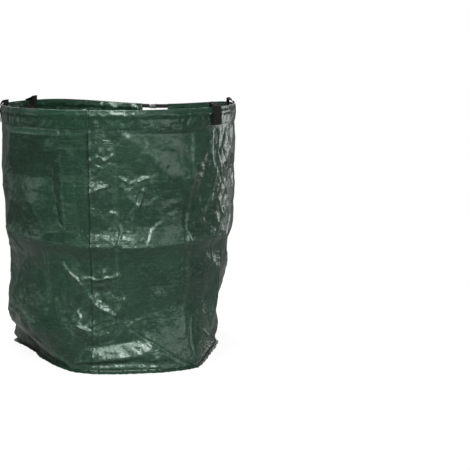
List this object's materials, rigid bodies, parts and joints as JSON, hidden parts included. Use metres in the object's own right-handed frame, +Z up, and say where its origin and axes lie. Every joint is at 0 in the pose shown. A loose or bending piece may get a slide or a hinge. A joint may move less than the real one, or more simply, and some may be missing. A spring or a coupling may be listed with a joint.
{
  "type": "garden leaf bag",
  "caption": "Round standing garden leaf bag of woven sheet, with a springy hoop in its open hem, webbing handles and a flat sewn-in base; its rim pushes down to pack flat.",
  "frame": {"origin": "centre of the bag on the ground, under the middle of its mouth", "axes": "+Z up out of the mouth, the handles at +X and -X, the front seam facing -Y and the opening in the hem at +Y"},
  "size_m": [0.6796, 0.6778, 0.7335],
  "materials": {
    "woven_sheet": "satin",
    "webbing": "matte",
    "hoop_plastic": "gloss",
    "steel": "satin"
  },
  "bodies": {
    "base": {"base_panel": "woven_sheet", "wall_panel_right": "woven_sheet", "wall_panel_left": "woven_sheet"},
    "rim": {"hem_sleeve_right": "woven_sheet", "hem_sleeve_left": "woven_sheet", "hoop_strip": "hoop_plastic", "hoop_ferrule": "steel", "handle_right_front_tab": "webbing", "handle_right_rear_tab": "webbing", "handle_left_front_tab": "webbing", "handle_left_rear_tab": "webbing"},
    "handle_right": {"handle_right_loop": "webbing"},
    "handle_left": {"handle_left_loop": "webbing"}
  },
  "joints": [
    {"name": "rim_collapse", "type": "slide", "parent": "base", "child": "rim", "axis": [0, 0, 1], "range_m": [-0.62, 0], "deforming": ["wall_panel_right", "wall_panel_left"]},
    {"name": "handle_right_fold", "type": "hinge", "parent": "rim", "child": "handle_right", "pos_m": [0.29864, 0, 0.7335], "axis": [0, 1, 0], "range_deg": [0, 260]},
    {"name": "handle_left_fold", "type": "hinge", "parent": "rim", "child": "handle_left", "pos_m": [-0.29864, 0, 0.7335], "axis": [0, -1, 0], "range_deg": [0, 260]}
  ]
}
